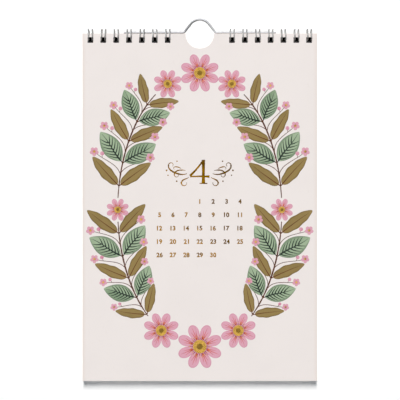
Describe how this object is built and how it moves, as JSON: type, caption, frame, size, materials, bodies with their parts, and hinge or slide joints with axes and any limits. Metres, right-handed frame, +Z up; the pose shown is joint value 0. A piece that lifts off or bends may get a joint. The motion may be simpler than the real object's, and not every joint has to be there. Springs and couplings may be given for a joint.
{
  "type": "wall calendar",
  "caption": "Portrait wall calendar with a printed leaf wreath and month grid, bound at the top with twin-loop wire and hung from a wire hanger.",
  "frame": {"origin": "where the nail bears, on the underside of the hump's top, on the wire's centre plane", "axes": "+Z up, +X to the viewer's right, -Y out of the printed front, +Y towards the wall"},
  "size_m": [0.1544, 0.0091, 0.2388],
  "materials": {
    "hanger_steel": "bright plated round wire",
    "binding_steel": "silver-grey coated round wire",
    "board_card": "cream, uncoated",
    "leaf_paper": "warm cream, smooth and matt",
    "ink_sage": "matt print",
    "ink_olive": "matt print",
    "ink_brown": "matt print",
    "ink_pink": "matt print",
    "ink_gold": "satin gold print"
  },
  "bodies": {
    "hanger": {"hanger": "hanger_steel"},
    "back": {"backing_board": "board_card", "left_binding_wire": "binding_steel", "right_binding_wire": "binding_steel"},
    "pages": {"page_block": "leaf_paper", "print_sage_leaves": "ink_sage", "print_olive_leaves": "ink_olive", "print_brown_stems": "ink_brown", "print_pink_blossoms": "ink_pink", "print_gold_discs": "ink_gold"}
  },
  "joints": [
    {"name": "calendar_swing", "type": "hinge", "parent": "hanger", "child": "back", "pos_m": [0, 0, -0.00785], "axis": [1, 0, 0], "range_deg": [-45, 90]},
    {"name": "page_turn", "type": "hinge", "parent": "back", "child": "pages", "pos_m": [0, -0.00135, -0.00865], "axis": [-1, 0, 0], "range_deg": [0, 90]}
  ]
}
